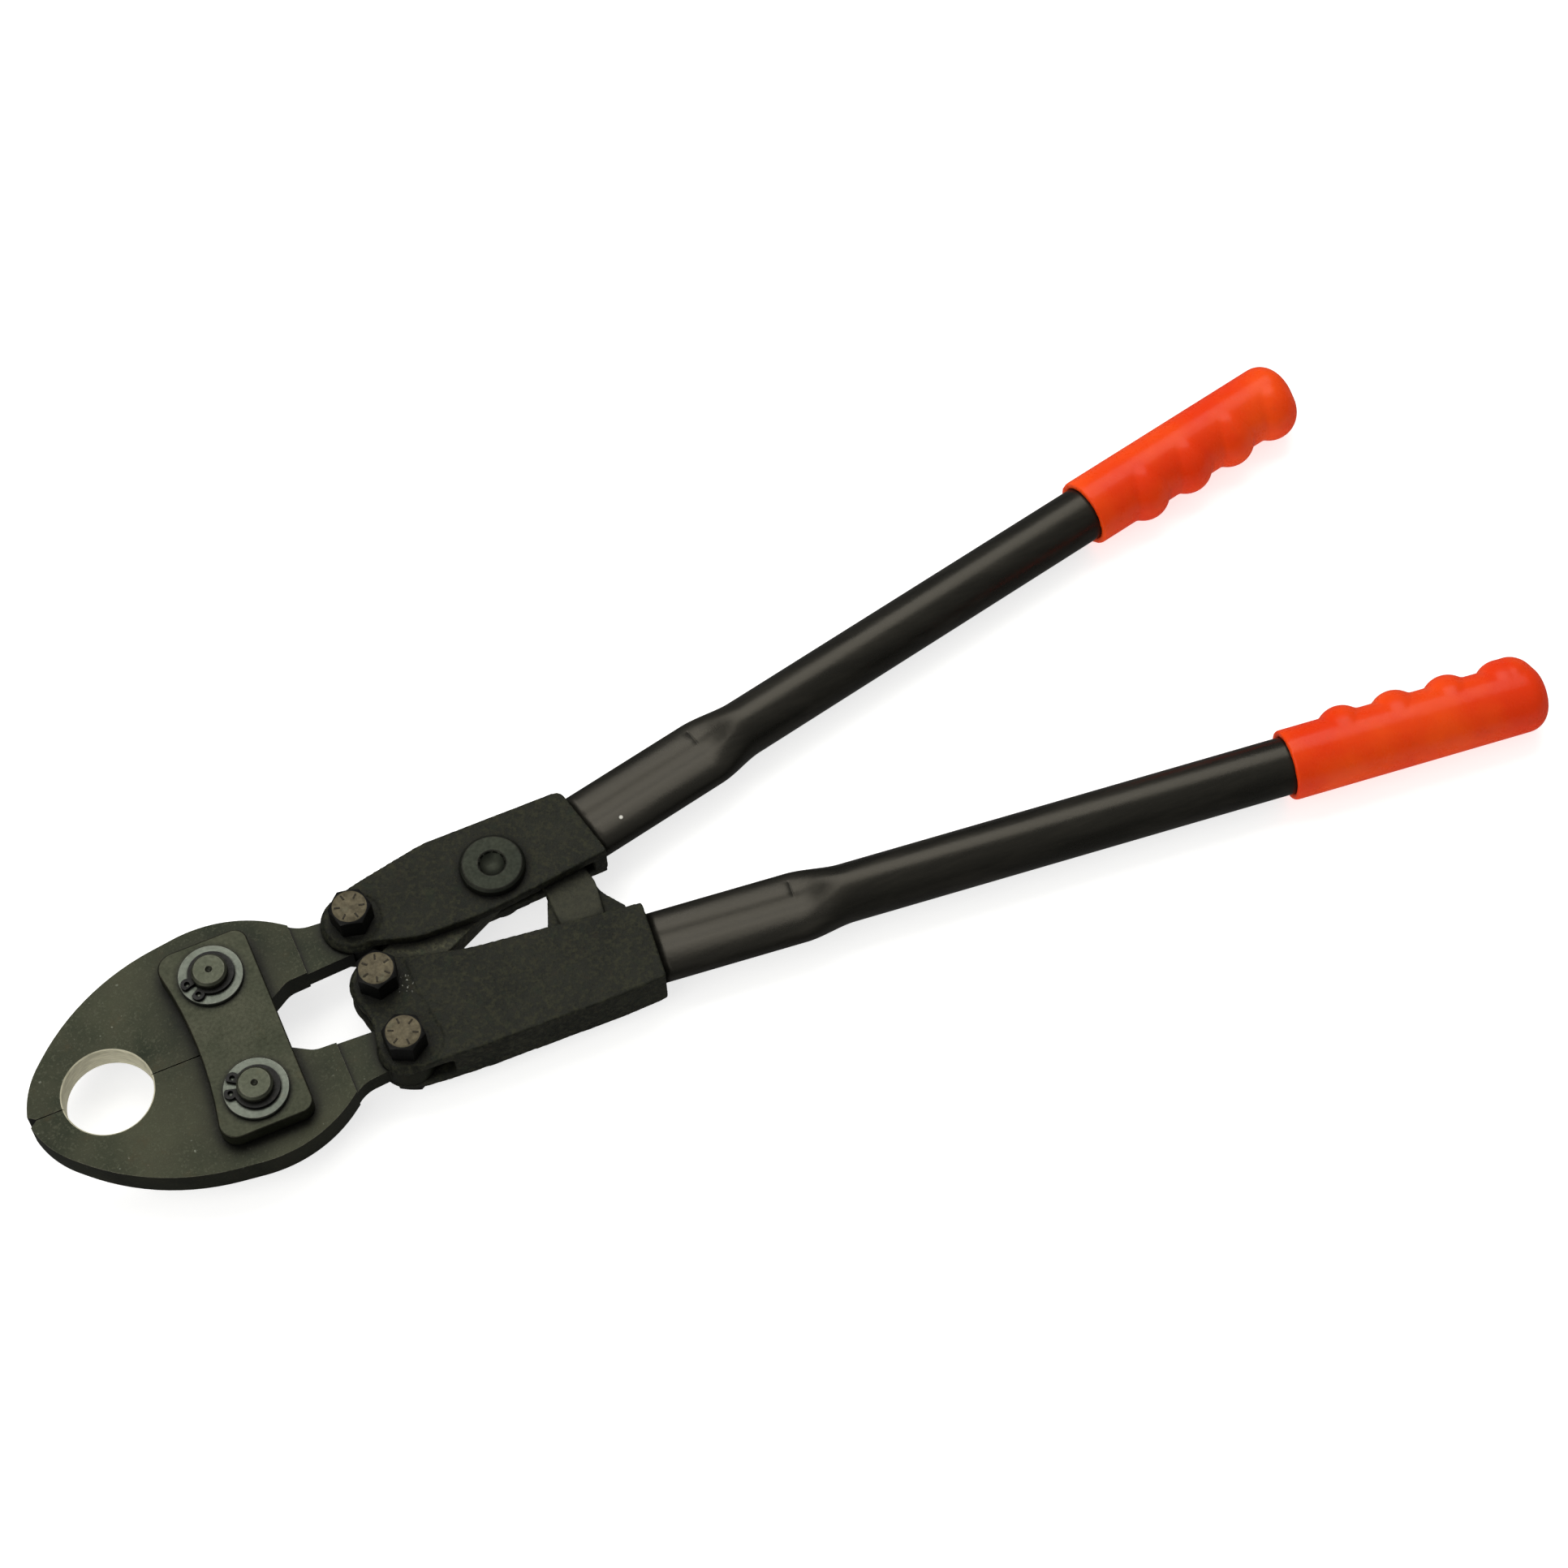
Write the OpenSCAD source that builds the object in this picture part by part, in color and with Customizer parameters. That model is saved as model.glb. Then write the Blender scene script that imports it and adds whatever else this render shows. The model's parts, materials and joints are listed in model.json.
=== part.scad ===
// Ring crimping tool in the form of a bolt cutter: toggled jaws close a round die.
// Millimetres. Origin: centre of the die, halfway through the jaws' thickness.
// +X runs towards the handles, +Y towards the upper handle, +Z out of the front strap.
// Everything is drawn with the die closed.

/* [Jaws] */
// Radius of the closed die
die_r = 15; // [12:0.5:15]
// Chamfer round both mouths of the die
die_chamfer = 0.4; // [0.2:0.1:1]
// Thickness of the jaws round the die
jaw_t = 10.2; // [9.8:0.1:12]
// Thickness of the jaw tails, inside the forks
tail_t = 7.8; // [7.4:0.1:8]
// Radius of the round eye on the end of each jaw tail
tail_eye_r = 9.6; // [9.4:0.1:9.7]
// Radius of the hole in that eye, wide enough for the linkage's free play
tail_hole_r = 7.4; // [7.4:0.1:7.6]
// Gap between the two jaws when the die is closed
split_gap = 0.3; // [0.2:0.1:0.5]

/* [Linkage] */
// X of the two jaw pins
jaw_pin_x = 44.4; // [44:0.1:45]
// Y of the upper jaw pin; the lower one mirrors it
jaw_pin_y = 22.3; // [22:0.1:23]
// X of the three bolts when the die is closed
bolt_x = 94.5; // [94:0.1:95]
// Y of the upper jaw bolt; the lower one mirrors it
bolt_y = 25; // [24.8:0.1:25.2]
// Radial clearance round every pin that turns
run_gap = 0.05; // [0.02:0.01:0.09]

/* [Straps and jaw pins] */
// Thickness of each strap plate
strap_t = 6.1; // [5:0.1:7]
// Gap between a strap and the jaws
strap_gap = 0.15; // [0.1:0.05:0.3]
// Radius of the jaw pins
pin_r = 6; // [5.5:0.1:6]
// Height of a pin's end over the strap
pin_stand = 5.6; // [5:0.1:6]
// Radius of the washer on each pin end
washer_r = 10.8; // [10:0.1:11]
// Thickness of that washer
washer_t = 1.6; // [1.2:0.1:2]
// Thickness of the snap ring over the washer
ring_t = 1.2; // [1:0.1:1.4]
// Direction of the front upper snap ring's lugs
upper_ring_turn = 205; // [0:5:355]
// Direction of the front lower snap ring's lugs
lower_ring_turn = 155; // [0:5:355]

/* [Bolts] */
// Radius of the bolt shanks
bolt_r = 4; // [3.5:0.1:4]
// Width of the hexagons across their flats
hex_af = 12.7; // [12:0.1:13]
// Radius of the round flat on top of a bolt head
head_flat_r = 5.8; // [5.4:0.1:6]
// Height of a bolt head over the machined ear
head_h = 9; // [6:0.1:9.5]
// Height of a nut
nut_h = 6.8; // [6:0.1:7]
// Length of thread past the nut
thread_end = 1.8; // [1:0.1:2.5]

/* [Adapters] */
// Thickness of the cast adapters
adapter_t = 16.8; // [16.4:0.2:18]
// Thickness of the machined ears round the bolts
ear_t = 15.8; // [15:0.2:16]
// Width of the slot that splits each adapter into a fork
slot_t = 8.2; // [8.2:0.1:8.4]
// Radius of the ear round the upper jaw bolt
upper_ear_r = 11.2; // [10.4:0.1:11.4]
// Radius of the ear round the lower jaw bolt
lower_ear_r = 10; // [9.8:0.1:10.6]
// Radius of the ear round the centre bolt
centre_ear_r = 10.2; // [9.6:0.1:10.4]
// Width of the sloping rim round each ear
ear_rim = 1.6; // [0.8:0.1:2]
// Radius of the flat milled round the upper jaw bolt
spot_r = 9.9; // [9.6:0.1:10.2]
// Thickness of the stop lug on the lower adapter
lug_t = 6.2; // [5:0.1:7]
// Thickness of the centre link
link_t = 8; // [7.4:0.1:8]
// Radius of the front head of the rivet that holds the centre link
rivet_head_r = 11.2; // [9:0.1:11.5]
// Radius of the rivet's formed head at the back
rivet_tail_r = 9; // [7:0.1:9.5]
// Height of both rivet heads
rivet_head_h = 3.5; // [2:0.1:4]

/* [Handles] */
// Angle of the upper handle to the tool's centre line
upper_angle = 12.1; // [11:0.1:13]
// Angle of the lower handle to the tool's centre line
lower_angle = 6.2; // [5:0.1:7]
// Outer radius of the round tube
tube_r = 10; // [9.5:0.1:10.5]
// Wall of the tube
tube_wall = 2; // [1.5:0.1:2.5]
// Half the width of the tube where it is pressed flat
flat_half_w = 12.7; // [12:0.1:13]
// Half the thickness of the tube where it is pressed flat
flat_half_t = 5.4; // [5:0.1:6]
// Length of the flat stretch
flat_len = 49; // [45:1:55]
// Length over which the tube turns from flat to round
flare_len = 18; // [14:1:24]

/* [Grips] */
// Distance of the upper grip's mouth from the end of its adapter
upper_grip_at = 215; // [200:1:230]
// Distance of the lower grip's mouth from the end of its adapter
lower_grip_at = 224; // [200:1:230]
// Length of the upper grip
upper_grip_len = 91; // [90:0.5:96]
// Length of the lower grip, which is pushed on less far
lower_grip_len = 94; // [90:0.5:96]
// Outer radius of a grip
grip_r = 12.3; // [11.8:0.1:13]
// Rounding of a grip's closed end
grip_end_r = 7.5; // [4:0.5:9]
// Distance between finger bumps
bump_pitch = 19.4; // [18:0.1:20]
// Height of the finger bumps
bump_h = 3; // [2:0.1:4]
// Thickness of a grip's closed end
grip_end_t = 6; // [4:0.5:8]

/* [Hidden] */

$fn = 96;
arc_step = 3;

upper_pin = [jaw_pin_x, jaw_pin_y];
lower_pin = [jaw_pin_x, -jaw_pin_y];
upper_bolt = [bolt_x, bolt_y];
lower_bolt = [bolt_x, -bolt_y];
centre = [bolt_x, 0];
rivet = [144, 23.5];

// Heights of the stack on the jaw pins.
strap_z = jaw_t / 2 + strap_gap;
strap_top = strap_z + strap_t;
ring_z = strap_top + washer_t;
pin_end = strap_top + pin_stand;
groove_r = pin_r - 0.7;
pin_chamfer = 0.8;
centre_drill_r = 1.2;
centre_drill_h = 1.4;

// Where each tube meets its adapter, on the tube's axis.
upper_seat = [178.3, 29.1];
lower_seat = [183, -22.7];
tang_len = 45;
tang_fit = 0.05;

// The jaws step down to their tails here.
tail_x = 74;

// The forks are open to the left of this line, so that the jaw tails can swing.
fork_x = bolt_x + 14.1;
upper_web_y = 34;
stop_y = 19.5;

// Directions of the hexagons.
upper_hex_turn = 45;
centre_hex_turn = 15;
lower_hex_turn = 33;

rivet_r = 5;
thread_chamfer = 1;

// The centre bolt turns in the lower adapter, so its head and nut stand this far off the ears.
centre_lift = 0.1;
mark_w = 0.6;
mark_h = 0.15;

/* ---- shared shapes ---- */

function unit(v) = v / norm(v);
function turn(a, b) = atan2(a.x * b.y - a.y * b.x, a.x * b.x + a.y * b.y);
function rotated(v, a) = [v.x * cos(a) - v.y * sin(a), v.x * sin(a) + v.y * cos(a)];

// Points of the arc of radius r that rounds the corner at b, between a and c.
function corner_arc(a, b, c, r) =
    let (
        along = unit(b - a),
        bend = turn(along, c - b),
        start = b - along * r * abs(tan(bend / 2)),
        inward = sign(bend) * [-along.y, along.x],
        middle = start + r * inward,
        first = atan2(-inward.y, -inward.x),
        steps = max(1, ceil(abs(bend) / arc_step))
    )
    [for (i = [0:steps]) middle + r * [cos(first + bend * i / steps), sin(first + bend * i / steps)]];

function xy(p) = [p.x, p.y];

// Outline through corners [x, y, radius].
function rounded(p) =
    let (n = len(p))
    [for (i = [0:n - 1])
        each p[i].z > 0
            ? corner_arc(xy(p[(i + n - 1) % n]), xy(p[i]), xy(p[(i + 1) % n]), p[i].z)
            : [xy(p[i])]];

module disc(at, r) {
    translate(at) circle(r);
}

// Bar with round ends of two sizes.
module bar(a, ra, b, rb) {
    heading = atan2(b.y - a.y, b.x - a.x);
    lean = acos((ra - rb) / norm(b - a));
    disc(a, ra);
    disc(b, rb);
    polygon([
        a + ra * [cos(heading + lean), sin(heading + lean)],
        a + ra * [cos(heading - lean), sin(heading - lean)],
        b + rb * [cos(heading - lean), sin(heading - lean)],
        b + rb * [cos(heading + lean), sin(heading + lean)]
    ]);
}

module slab(t) {
    linear_extrude(t, center = true) children();
}

// Moves a shape from the top face of the tool to the matching place on the back.
module to_back() {
    mirror([0, 0, 1]) children();
}

module to_lower() {
    mirror([0, 1, 0]) children();
}

/* ---- jaws ---- */

module jaw_outline() {
    half_gap = split_gap / 2;
    polygon(rounded([
        [-24.3, half_gap, 0],
        [45, half_gap, 0],
        [66.6, 13.6, 8],
        [bolt_x - 4, 14.8, 0],
        [bolt_x - 4, 29.8, 0],
        [77.2, 30.8, 12],
        [56.6, 46.8, 46],
        [3.1, 39.3, 80],
        [-24.7, 11.5, 33],
        [-26.8, 2, 0]
    ]));
    disc(upper_bolt, tail_eye_r);
}

// Tool for the die: a bore with a chamfer at each mouth.
module die_cut() {
    cylinder(r = die_r, h = jaw_t + 2, center = true);
    for (side = [0, 1])
        mirror([0, 0, side])
            translate([0, 0, jaw_t / 2 - die_chamfer])
                cylinder(r1 = die_r, r2 = die_r + 2 * die_chamfer, h = 2 * die_chamfer);
}

module jaw() {
    difference() {
        union() {
            slab(tail_t) jaw_outline();
            slab(jaw_t) intersection() {
                jaw_outline();
                translate([-40, 0]) square([tail_x + 40, 60]);
            }
        }
        die_cut();
        translate(upper_pin) cylinder(r = pin_r + run_gap, h = jaw_t + 2, center = true);
        translate(upper_bolt) cylinder(r = tail_hole_r, h = jaw_t + 2, center = true);
    }
}

module upper_jaw() {
    color([0.27, 0.28, 0.24]) jaw();
}

module lower_jaw() {
    color([0.25, 0.26, 0.22]) to_lower() jaw();
}

/* ---- straps, jaw pins, washers and snap rings ---- */

module strap() {
    translate([0, 0, strap_z]) linear_extrude(strap_t) difference() {
        polygon(rounded([
            [60, -36, 4.5],
            [60, 36, 4.5],
            [27.5, 36, 6],
            [34.4, 0, 150],
            [27.5, -36, 6]
        ]));
        disc(upper_pin, pin_r);
        disc(lower_pin, pin_r);
    }
}

module front_strap() {
    color([0.24, 0.25, 0.21]) strap();
}

module rear_strap() {
    color([0.24, 0.25, 0.21]) to_back() strap();
}

module jaw_pin(at) {
    groove_top = ring_z + ring_t;
    half = [
        [0, pin_end - centre_drill_h], [centre_drill_r, pin_end], [pin_r - pin_chamfer, pin_end],
        [pin_r, pin_end - pin_chamfer], [pin_r, groove_top], [groove_r, groove_top],
        [groove_r, ring_z], [pin_r, ring_z], [pin_r, 0]
    ];
    other_half = [for (i = [len(half) - 2:-1:0]) [half[i].x, -half[i].y]];
    translate(at) rotate_extrude() polygon(concat(half, other_half));
}

module upper_jaw_pin() {
    color([0.42, 0.43, 0.38]) jaw_pin(upper_pin);
}

module lower_jaw_pin() {
    color([0.42, 0.43, 0.38]) jaw_pin(lower_pin);
}

module washer(at) {
    translate([at.x, at.y, strap_top]) linear_extrude(washer_t) difference() {
        circle(washer_r);
        circle(pin_r + run_gap);
    }
}

module front_upper_washer() {
    color([0.45, 0.49, 0.5]) washer(upper_pin);
}

module front_lower_washer() {
    color([0.45, 0.49, 0.5]) washer(lower_pin);
}

module rear_upper_washer() {
    color([0.45, 0.49, 0.5]) to_back() washer(upper_pin);
}

module rear_lower_washer() {
    color([0.45, 0.49, 0.5]) to_back() washer(lower_pin);
}

// Open snap ring with two lugs, each with a hole for the pliers.
module snap_ring(at, direction) {
    rim_r = pin_r + 1.7;
    lug_at = pin_r + 2.3;
    lug_spread = 19;
    lug_r = 2.1;
    pliers_hole_r = 0.9;
    translate([at.x, at.y, ring_z]) rotate(direction) linear_extrude(ring_t) difference() {
        union() {
            disc([-0.4, 0], rim_r);
            for (side = [-1, 1])
                rotate(side * lug_spread) disc([lug_at, 0], lug_r);
        }
        circle(groove_r);
        polygon([[0, 0], [14, -2.2], [14, 2.2]]);
        for (side = [-1, 1])
            rotate(side * lug_spread) disc([lug_at, 0], pliers_hole_r);
    }
}

module front_upper_ring() {
    color([0.16, 0.17, 0.18]) snap_ring(upper_pin, upper_ring_turn);
}

module front_lower_ring() {
    color([0.16, 0.17, 0.18]) snap_ring(lower_pin, lower_ring_turn);
}

module rear_upper_ring() {
    color([0.16, 0.17, 0.18]) to_back() snap_ring(upper_pin, 180 - upper_ring_turn);
}

module rear_lower_ring() {
    color([0.16, 0.17, 0.18]) to_back() snap_ring(lower_pin, 180 - lower_ring_turn);
}

/* ---- bolts and nuts ---- */

// Hexagon whose corners are turned off at 30 degrees at one end, or at both.
module hexagon(h, direction, both_ends) {
    corner_r = hex_af / 2 / cos(30);
    out_r = corner_r + 0.5;
    drop = (out_r - head_flat_r) * tan(30);
    foot = both_ends ? [[head_flat_r, 0], [out_r, drop]] : [[out_r, 0]];
    intersection() {
        rotate(direction) cylinder(r = corner_r, h = h, $fn = 6);
        rotate_extrude() polygon(concat([[0, 0]], foot, [[out_r, h - drop], [head_flat_r, h], [0, h]]));
    }
}

// Raised radial mark on top of a bolt head.
module grade_mark() {
    translate([3.1, -mark_w / 2, -mark_h]) cube([2, mark_w, 2 * mark_h]);
}

// Bolt with its head on the front ear; lift is its clearance over the ear.
module bolt(at, direction, lift) {
    seat = ear_t / 2 + lift;
    tip = ear_t / 2 + lift + nut_h + thread_end;
    translate(at) {
        translate([0, 0, seat]) hexagon(head_h, direction, false);
        translate([0, 0, thread_chamfer - tip]) cylinder(r = bolt_r, h = tip + seat - thread_chamfer);
        translate([0, 0, -tip]) cylinder(r1 = bolt_r - thread_chamfer, r2 = bolt_r, h = thread_chamfer);
        for (i = [0:5])
            translate([0, 0, seat + head_h]) rotate(direction + 60 * i) grade_mark();
    }
}

module nut(at, direction, lift) {
    translate(at) to_back() translate([0, 0, ear_t / 2 + lift]) difference() {
        hexagon(nut_h, direction, true);
        translate([0, 0, -1]) cylinder(r = bolt_r, h = nut_h + 2);
    }
}

module centre_bolt() {
    color([0.5, 0.45, 0.38]) bolt(centre, centre_hex_turn, centre_lift);
}

module centre_nut() {
    color([0.2, 0.2, 0.19]) nut(centre, centre_hex_turn, centre_lift);
}

module upper_jaw_bolt() {
    color([0.5, 0.45, 0.38]) bolt(upper_bolt, upper_hex_turn, 0);
}

module upper_jaw_nut() {
    color([0.2, 0.2, 0.19]) nut(upper_bolt, upper_hex_turn, 0);
}

module lower_jaw_bolt() {
    color([0.5, 0.45, 0.38]) bolt(lower_bolt, lower_hex_turn, 0);
}

module lower_jaw_nut() {
    color([0.2, 0.2, 0.19]) nut(lower_bolt, lower_hex_turn, 0);
}

/* ---- adapters, centre link and rivet ---- */

// Puts the children on the handle's axis: local +X runs along the tube.
module on_handle(seat, angle) {
    translate(seat) rotate(angle) children();
}

// Flat tongue that the tube is pressed onto.
module tang() {
    half_t = flat_half_t - tube_wall - tang_fit;
    half_w = flat_half_w - flat_half_t;
    rotate([90, 0, 90]) translate([0, 0, -4]) linear_extrude(tang_len + 4)
        bar([-half_w, 0], half_t, [half_w, 0], half_t);
}

// Round ear whose rim slopes down to the slot on both faces.
module ear(at, r) {
    top = ear_t / 2;
    slope_h = ear_rim * 1.5;
    translate(at) rotate_extrude() polygon([
        [0, -top], [r - ear_rim, -top], [r, slope_h - top],
        [r, top - slope_h], [r - ear_rim, top], [0, top]
    ]);
}

// Machined flats round the bolts, on both faces.
module both_faces() {
    for (side = [0, 1])
        mirror([0, 0, side]) translate([0, 0, ear_t / 2]) linear_extrude(adapter_t) children();
}

module upper_adapter_outline() {
    inner_end = upper_seat + rotated([0, -15.4], upper_angle);
    outer_end = upper_seat + rotated([0, 13.2], upper_angle);
    polygon(rounded([
        [bolt_x + 1, 15.2, 0],
        [101, 13.2, 10],
        [112, 9.6, 20],
        [136, 8.6, 100],
        [inner_end.x, inner_end.y, 0.8],
        [outer_end.x, outer_end.y, 3.5],
        [125, 42.1, 30],
        [101, 37.4, 14],
        [bolt_x + 1, 36, 0]
    ]));
}

// The slot takes the jaw tail, the centre link and, near its end, the stop lug.
module upper_slot() {
    polygon([
        [60, -10], [176.5, -10], [176.5, stop_y], [154, stop_y],
        [154, upper_web_y], [fork_x, upper_web_y], [fork_x, 60], [60, 60]
    ]);
}

// The back fork is cut shorter than the front one on the inner side.
module back_fork_trim() {
    polygon([[112, 0], [122, 9.4], [136, 13], [160, 14.5], [184, 15.3], [184, 0]]);
}

module upper_adapter() {
    color([0.2, 0.2, 0.17]) {
        difference() {
            union() {
                slab(adapter_t) upper_adapter_outline();
                ear(upper_bolt, upper_ear_r);
            }
            slab(slot_t) upper_slot();
            both_faces() disc(upper_bolt, spot_r);
            to_back() translate([0, 0, slot_t / 2 - 0.1]) linear_extrude(adapter_t) back_fork_trim();
            translate(upper_bolt) cylinder(r = bolt_r, h = adapter_t + 2, center = true);
            translate(rivet) cylinder(r = rivet_r, h = adapter_t + 2, center = true);
        }
        on_handle(upper_seat, upper_angle) tang();
    }
}

module centre_link() {
    color([0.22, 0.22, 0.2]) difference() {
        slab(link_t) bar(centre, 8.8, rivet, 8);
        translate(centre) cylinder(r = bolt_r + run_gap, h = link_t + 2, center = true);
        translate(rivet) cylinder(r = rivet_r, h = link_t + 2, center = true);
    }
}

module rivet_head(r) {
    edge = 1;
    translate([0, 0, adapter_t / 2]) {
        cylinder(r = r, h = rivet_head_h - edge);
        translate([0, 0, rivet_head_h - edge]) cylinder(r1 = r, r2 = r - edge, h = edge);
    }
}

// Rivet with a wide front head, a smaller back one, and a ball-shaped dimple in each.
module link_rivet() {
    dimple_r = 6;
    dimple_depth = 2.2;
    dimple_z = adapter_t / 2 + rivet_head_h + dimple_r - dimple_depth;
    color([0.26, 0.27, 0.24]) translate(rivet) difference() {
        union() {
            cylinder(r = rivet_r, h = adapter_t, center = true);
            rivet_head(rivet_head_r);
            to_back() rivet_head(rivet_tail_r);
        }
        for (z = [-dimple_z, dimple_z]) translate([0, 0, z]) sphere(dimple_r);
    }
}

module lower_adapter_outline() {
    inner_end = lower_seat + rotated([0, 14], -lower_angle);
    outer_end = lower_seat + rotated([0, -14.8], -lower_angle);
    polygon(rounded([
        [bolt_x + 1, -34.9, 0],
        [118, -36.5, 0],
        [outer_end.x - 15, -38, 30],
        [outer_end.x, outer_end.y, 1.5],
        [inner_end.x, inner_end.y, 1.2],
        [126, -0.9, 60],
        [106, 4.4, 12],
        [98, 9.2, 0],
        [bolt_x - 9.4, -2.5, 0],
        [bolt_x - 7.3, -12.5, 6],
        [bolt_x - 9, -22, 0]
    ]));
}

// The slot takes the jaw tail and the centre link, which swings out of it upwards.
module lower_slot() {
    polygon([
        [60, 25], [60, -50], [105, -50], [106, -38],
        [fork_x, -30], [fork_x, -3.7], [130, 7.3], [130, 25]
    ]);
}

module lower_ears() {
    polygon(rounded([
        [60, 20, 0], [60, -60, 0], [90, -60, 0], [101, -35, 6],
        [107.6, -29, 8], [105, -8, 20], [104.8, 20, 0]
    ]));
}

// Lug with a thinner web on its right and a thinner root that widens on its left.
module stop_lug() {
    lug_top = stop_y - 0.3;
    root_t = lug_t - 2;
    slab(lug_t) polygon(rounded([
        [157.4, -8, 0], [172, -8, 0], [174.2, 8, 12], [171.6, lug_top, 2], [157.4, lug_top, 1.5]
    ]));
    slab(lug_t / 2) polygon(rounded([
        [165, -8, 0], [180.5, -8, 0], [180, -4, 0], [175.2, 3, 9], [173, 9, 0], [165, 5, 0]
    ]));
    slab(root_t) polygon([[152.4, -8], [152.6, -3], [157.2, 9], [160, 9], [160, -8]]);
}

module lower_adapter() {
    color([0.2, 0.2, 0.17]) {
        difference() {
            union() {
                slab(adapter_t) lower_adapter_outline();
                ear(lower_bolt, lower_ear_r);
                ear(centre, centre_ear_r);
            }
            slab(slot_t) lower_slot();
            both_faces() lower_ears();
            translate(lower_bolt) cylinder(r = bolt_r, h = adapter_t + 2, center = true);
            translate(centre) cylinder(r = bolt_r + run_gap, h = adapter_t + 2, center = true);
        }
        stop_lug();
        on_handle(lower_seat, -lower_angle) tang();
    }
}

/* ---- tubes ---- */

tube_sides = 48;
flare_steps = 8;

// Half sizes of the tube's section at a distance x from the adapter.
function ease(x) = x * x * (3 - 2 * x);
function roundness(x) = ease(min(1, max(0, (x - flat_len) / flare_len)));
function half_thick(x) = flat_half_t + (tube_r - flat_half_t) * roundness(x);
function half_flat(x) = (flat_half_w - flat_half_t) * (1 - roundness(x));

// One ring of points: two half circles joined by flats.
function tube_ring(x, inset) =
    let (r = half_thick(x) - inset)
    [for (i = [0:tube_sides - 1])
        let (a = 360 * (i + 0.5) / tube_sides)
        [x, sign(cos(a)) * half_flat(x) + r * cos(a), r * sin(a)]];

function quads(first, second, flip) =
    [for (i = [0:tube_sides - 1])
        let (j = (i + 1) % tube_sides)
        flip ? [first + i, second + i, second + j, first + j]
             : [first + i, first + j, second + j, second + i]];

module tube(length) {
    flare = [for (i = [0:flare_steps]) flat_len + flare_len * i / flare_steps];
    stations = concat([0], flare, [length]);
    count = len(stations);
    inner = count * tube_sides;
    last = (count - 1) * tube_sides;
    points = concat(
        [for (x = stations) each tube_ring(x, 0)],
        [for (x = stations) each tube_ring(x, tube_wall)]
    );
    walls = [for (s = [0:count - 2])
        each concat(
            quads(s * tube_sides, (s + 1) * tube_sides, true),
            quads(inner + s * tube_sides, inner + (s + 1) * tube_sides, false)
        )];
    ends = concat(quads(0, inner, false), quads(last, inner + last, true));
    polyhedron(points, concat(walls, ends));
}

module upper_tube() {
    color([0.08, 0.08, 0.08])
        on_handle(upper_seat, upper_angle) tube(upper_grip_at + upper_grip_len - grip_end_t);
}

module lower_tube() {
    color([0.08, 0.08, 0.08])
        on_handle(lower_seat, -lower_angle) tube(lower_grip_at + lower_grip_len - grip_end_t);
}

/* ---- grips ---- */

// Sleeve closed at its far end, with four finger bumps on the side given by inner_side. The last
// bump runs on to the closed end.
module grip(at, length, inner_side) {
    bump_round = 9;
    first_bump = 23;
    core_r = grip_r - grip_end_r;
    bumps = concat([for (i = [0:3]) first_bump + i * bump_pitch], [length - bump_round - 0.5]);
    translate([at, 0, 0]) difference() {
        union() {
            rotate([0, 90, 0]) rotate_extrude() difference() {
                union() {
                    square([grip_r, length - grip_end_r]);
                    square([core_r, length]);
                    translate([core_r, length - grip_end_r]) circle(grip_end_r);
                }
                translate([-20, 0]) square([20, length]);
            }
            for (x = bumps)
                translate([x, inner_side * bump_h, 0])
                    rotate([0, 90, 0]) rotate_extrude() intersection() {
                        translate([grip_r - bump_round, 0]) circle(bump_round);
                        translate([0, -bump_round]) square(2 * bump_round);
                    }
        }
        rotate([0, 90, 0]) translate([0, 0, -1]) cylinder(r = tube_r, h = length - grip_end_t + 1);
    }
}

module upper_grip() {
    color([0.93, 0.3, 0.13]) on_handle(upper_seat, upper_angle) grip(upper_grip_at, upper_grip_len, -1);
}

module lower_grip() {
    color([0.93, 0.3, 0.13]) on_handle(lower_seat, -lower_angle) grip(lower_grip_at, lower_grip_len, 1);
}

front_strap();
rear_strap();
upper_jaw_pin();
lower_jaw_pin();
front_upper_washer();
front_lower_washer();
rear_upper_washer();
rear_lower_washer();
front_upper_ring();
front_lower_ring();
rear_upper_ring();
rear_lower_ring();
upper_jaw();
lower_jaw();
centre_bolt();
centre_nut();
upper_adapter();
centre_link();
link_rivet();
upper_jaw_bolt();
upper_jaw_nut();
upper_tube();
upper_grip();
lower_adapter();
lower_jaw_bolt();
lower_jaw_nut();
lower_tube();
lower_grip();
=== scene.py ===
"""Looks for a ring crimping tool with toggled jaws, black tube handles and orange vinyl grips.

Lengths are in metres. The origin is the middle of the closed die, +X runs towards the handles,
+Y towards the upper handle and +Z out of the front strap, which faces up as the tool lies.
"""
import json
import math

import bmesh
import bpy
from mathutils import Matrix, Vector


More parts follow.
